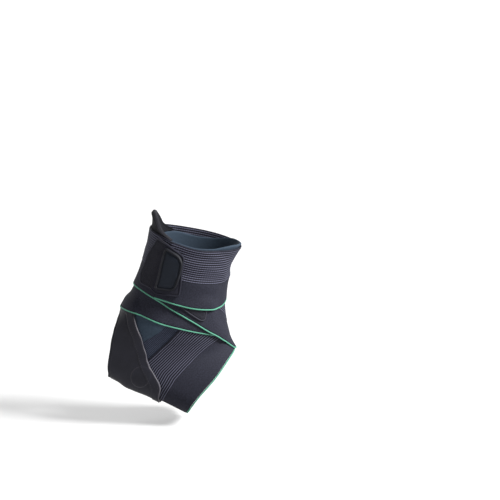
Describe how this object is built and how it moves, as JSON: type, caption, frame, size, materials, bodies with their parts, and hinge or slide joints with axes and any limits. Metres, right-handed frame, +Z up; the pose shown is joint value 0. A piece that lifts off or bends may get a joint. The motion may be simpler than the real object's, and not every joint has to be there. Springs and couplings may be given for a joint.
{
  "type": "ankle brace",
  "caption": "Pull-on knitted ankle brace with a heel panel and crossed elastic straps that wrap the ankle, open at the leg, heel and toes.",
  "frame": {"origin": "centre of the ankle joint of the foot that wears the brace, inside the hollow", "axes": "+X forward to the toes, level; +Y to the inner side of the foot; +Z up. The heel is lifted, so the sole slopes down to the toes"},
  "size_m": [0.1318, 0.0899, 0.2001],
  "materials": {
    "slate_knit": "fine slate blue knit",
    "padded_rim": "soft black padded knit",
    "laminated_panel": "smooth laminated stretch fabric with a soft sheen",
    "black_elastic": "woven elastic with fine lengthwise ribs",
    "green_edge": "woven green selvedge",
    "hook_fabric": "matte hook fabric",
    "moulded_tab": "satin moulded rubber"
  },
  "bodies": {
    "root": {"knit_sleeve": "slate_knit", "rim_pad": "padded_rim", "heel_panel": "laminated_panel", "lower_strap": "black_elastic", "lower_strap_edge": "green_edge", "upper_strap": "black_elastic", "upper_strap_edge": "green_edge", "under_patch": "hook_fabric", "closure_patch": "hook_fabric", "pull_tab": "moulded_tab"}
  },
  "joints": []
}
